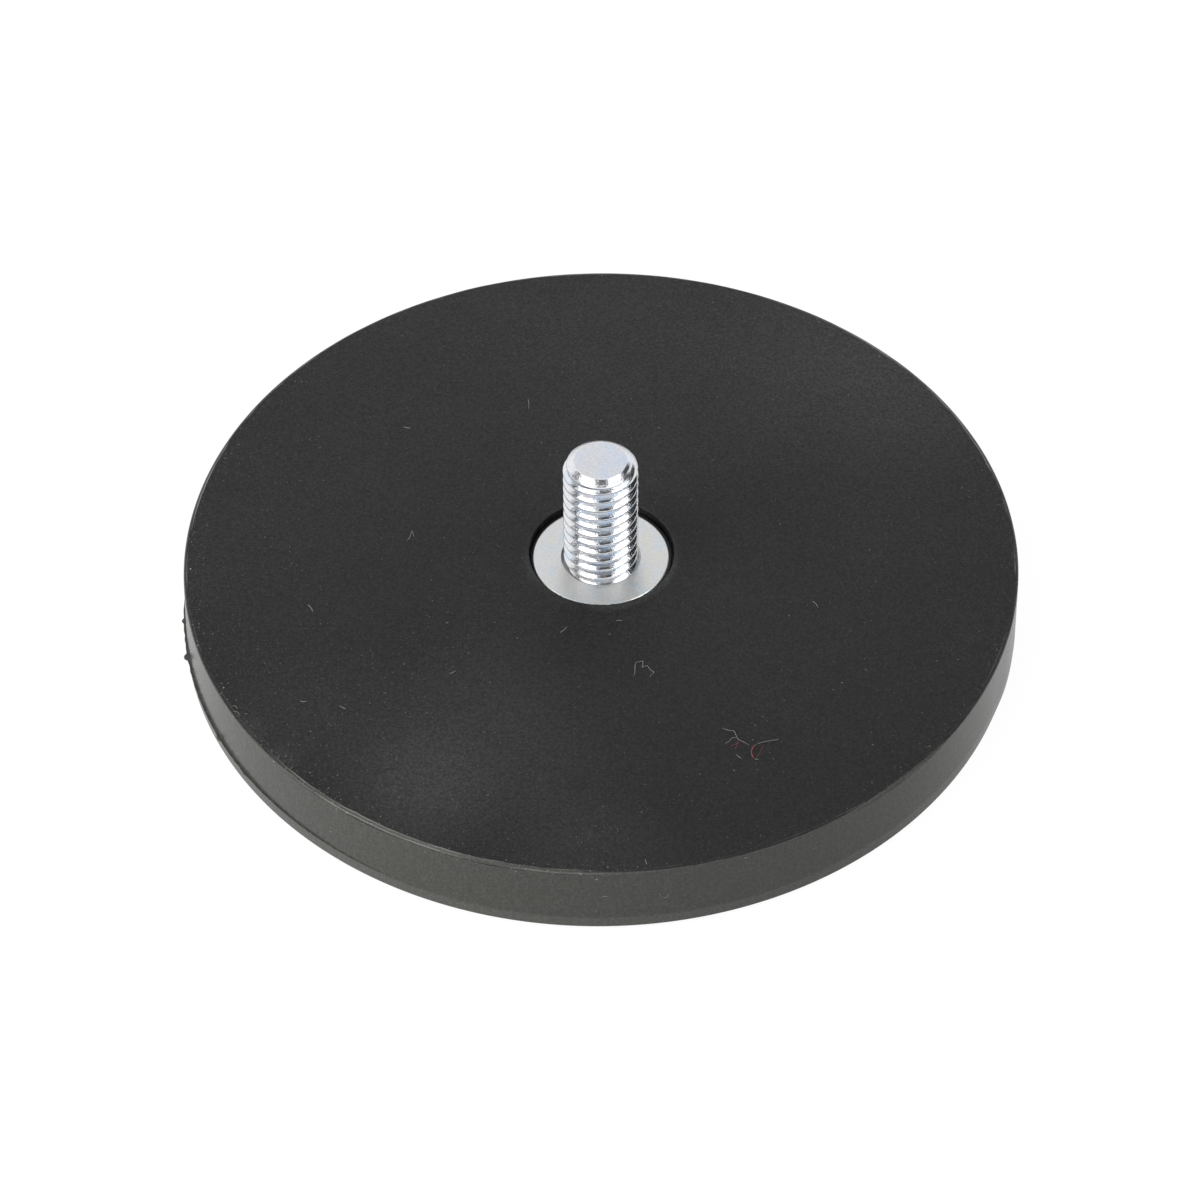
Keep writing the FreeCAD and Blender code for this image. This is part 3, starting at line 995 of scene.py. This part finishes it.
def stage_panel(name, centre, size, colour, strength):
    """A studio panel that only reflections see: it stands on its centre and faces the pin."""
    across, up = size[0] / 2, size[1] / 2
    turn = (Vector(PIN_MIDDLE) - Vector(centre)).to_track_quat("Z", "Y")
    corners = [Vector(centre) + turn @ Vector((x, y, 0))
               for x, y in ((-across, -up), (across, -up), (across, up), (-across, up))]
    material, tree = new_material(name)
    shade = add(tree, "ShaderNodeEmission", {"Color": linear(colour), "Strength": strength})
    add(tree, "ShaderNodeOutputMaterial", {"Surface": shade})
    panel = flat_sheet(name, corners, material)
    panel.visible_camera = False
    panel.visible_diffuse = False
    panel.visible_shadow = False


def seen_rays(tree):
    """The light path's outputs, and a socket that is 1 for the camera, reflections and glass."""
    rays = add(tree, "ShaderNodeLightPath").outputs
    seen = rays["Is Camera Ray"]
    for kind in ("Is Glossy Ray", "Is Transmission Ray"):
        seen = add(tree, "ShaderNodeMath", {0: seen, 1: rays[kind]}, operation="MAXIMUM")
    return rays, seen


def make_world():
    """White for what the camera and reflections see, and a plain soft light on everything."""
    world = bpy.data.worlds.new("studio")
    world.use_nodes = True
    tree = world.node_tree
    tree.nodes.clear()
    seen = seen_rays(tree)[1]
    level = add(tree, "ShaderNodeMix", {0: seen, 2: AMBIENT, 3: 1.0}, data_type="FLOAT")
    light = add(tree, "ShaderNodeBackground", {0: linear("#ffffff"), 1: level})
    add(tree, "ShaderNodeOutputWorld", {"Surface": light})
    scene.world = world


def make_floor():
    """A white floor that keeps a faint contact shadow."""
    material, tree = new_material("white_paper")
    rays, seen = seen_rays(tree)
    share = add(tree, "ShaderNodeMath", {0: seen, 1: FLOOR_SHINES}, operation="MULTIPLY")
    paper = add(tree, "ShaderNodeBsdfDiffuse", {0: linear("#e7e7e7")})
    level = add(tree, "ShaderNodeMapRange", {
        0: rays["Is Glossy Ray"], 3: FLOOR_GLOW, 4: FLOOR_GLOW_MIRRORED})
    glow = add(tree, "ShaderNodeEmission", {0: linear("#ffffff"), 1: level})
    both = add(tree, "ShaderNodeMixShader", {0: share, 1: paper, 2: glow})
    add(tree, "ShaderNodeOutputMaterial", {"Surface": both})
    half = FLOOR_HALF
    floor = flat_sheet("floor", [(x, y, FLOOR_HEIGHT) for x, y in (
        (-half, -half), (half, -half), (half, half), (-half, half))], material)


make_camera()
rubber = moulded_rubber()
# Zinc with a clear blue passivation on a rolled thread: bright, a little blue, streaked
pin_zinc = plated_metal(
    "bright_zinc_blue_passivated", "#e4ecf6", "#edeef2", "#eeedea",
    roughness=0.15, fleck=0.25, relief=0.034, streaks=0.4, point=0.2)
# The same plate on a turned face: satin and greyer
bush_zinc = plated_metal(
    "satin_zinc_turned", "#dfe6e8", "#e6e6e4", "#e8e6de",
    roughness=0.36, fleck=0.28, relief=0.009)
# Zinc on a blanked plate: duller still
plate_zinc = plated_metal(
    "dull_zinc_blanked_plate", "#cfd3d6", "#d0d0cf", "#d2cfc8",
    roughness=0.45, fleck=0.4, relief=0.012)
# Nickel on sintered magnets: bright and slightly warm
magnet_nickel = plated_metal(
    "bright_nickel_on_magnets", "#d6d4cf", "#d8d4cc", "#dbd5c8",
    roughness=0.22, fleck=0.3, relief=0.004)
coat = make_coat(rubber)
cut_magnet_pockets(coat)
make_bush(bush_zinc)
make_pin(pin_zinc)
make_lint()
for name in ["steel_back_plate"] + MAGNETS:
    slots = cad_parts[name].data.materials
    slots.clear()
    slots.append(magnet_nickel if name in MAGNETS else plate_zinc)

make_world()
make_floor()

# Lamps: azimuth from the front to the right, elevation, distance, width and height, radiance,
# and whether the metal mirrors them. The softboxes are the white bands on the stud.
for lamp in (
    ("softbox_right", 62, 60, 0.65, (0.45, 0.34), 2.65, True),
    ("softbox_left", -59, 60, 0.65, (0.43, 0.34), 2.8, True),
    ("fill_front_left", -65, 14, 0.9, (0.7, 0.4), 7.0, False),
):
    softbox(*lamp)

# Panels: centre, width and height, colour and radiance
for panel in (
    # Dark, mirrored in the upper flanks at the front as crescents
    ("flag_above_front", towards(7, 69, 0.6), (0.38, 0.40), "#1b1d21", 1.0),
    # Pale blue, mirrored twice above each crescent
    ("card_blue_low", (0.013, -0.062, 0.006), (0.074, 0.012), "#cfe9ff", 1.3),
    # Dark, mirrored at the stud's two sides
    ("flag_right", towards(108, 38, 0.8), (0.7, 0.5), "#26282b", 1.0),
    ("flag_left", towards(-86, 43, 0.8), (0.44, 0.5), "#26282b", 1.0),
    # Pale, mirrored in the point and in the flange
    ("card_back", towards(180, 46, 0.9), (1.0, 0.7), "#e6e8ed", 1.0),
):
    stage_panel(*panel)
